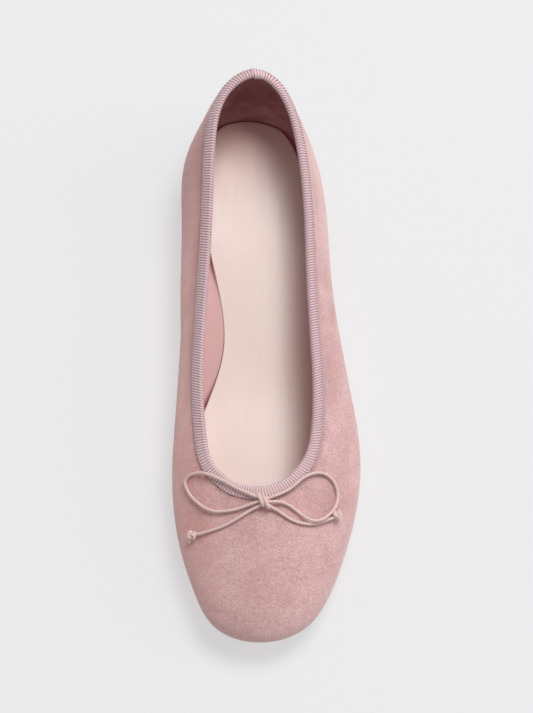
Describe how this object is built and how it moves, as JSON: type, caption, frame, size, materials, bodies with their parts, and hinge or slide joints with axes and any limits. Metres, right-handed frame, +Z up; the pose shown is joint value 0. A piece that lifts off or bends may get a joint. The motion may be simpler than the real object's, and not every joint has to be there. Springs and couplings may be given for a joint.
{
  "type": "ballet flat",
  "caption": "Women's ballet flat for the left foot: round toe, low-cut suede upper with a bound topline, leather sock, thin sole, low heel and a thin cord bow.",
  "frame": {"origin": "on the floor, under the middle of the shoe's outline", "axes": "+Z up, +Y towards the heel, -Y towards the toe, -X towards the inner (medial) side of the foot, +X towards the outer side"},
  "size_m": [0.0801, 0.2429, 0.0574],
  "materials": {
    "suede": "matte",
    "binding_tape": "matte",
    "sock_leather": "satin",
    "sole_rubber": "matte",
    "heel_stack": "satin",
    "lift_rubber": "matte",
    "cord_braid": "matte"
  },
  "bodies": {
    "root": {"upper": "suede", "topline_binding": "binding_tape", "insole": "sock_leather", "outsole": "sole_rubber", "heel_block": "heel_stack", "heel_lift": "lift_rubber", "bow_knot": "cord_braid", "bow_loop_inner": "cord_braid", "bow_loop_outer": "cord_braid", "bow_tail_inner": "cord_braid", "bow_tail_outer": "cord_braid", "tail_knot_inner": "cord_braid", "tail_knot_outer": "cord_braid"}
  },
  "joints": []
}
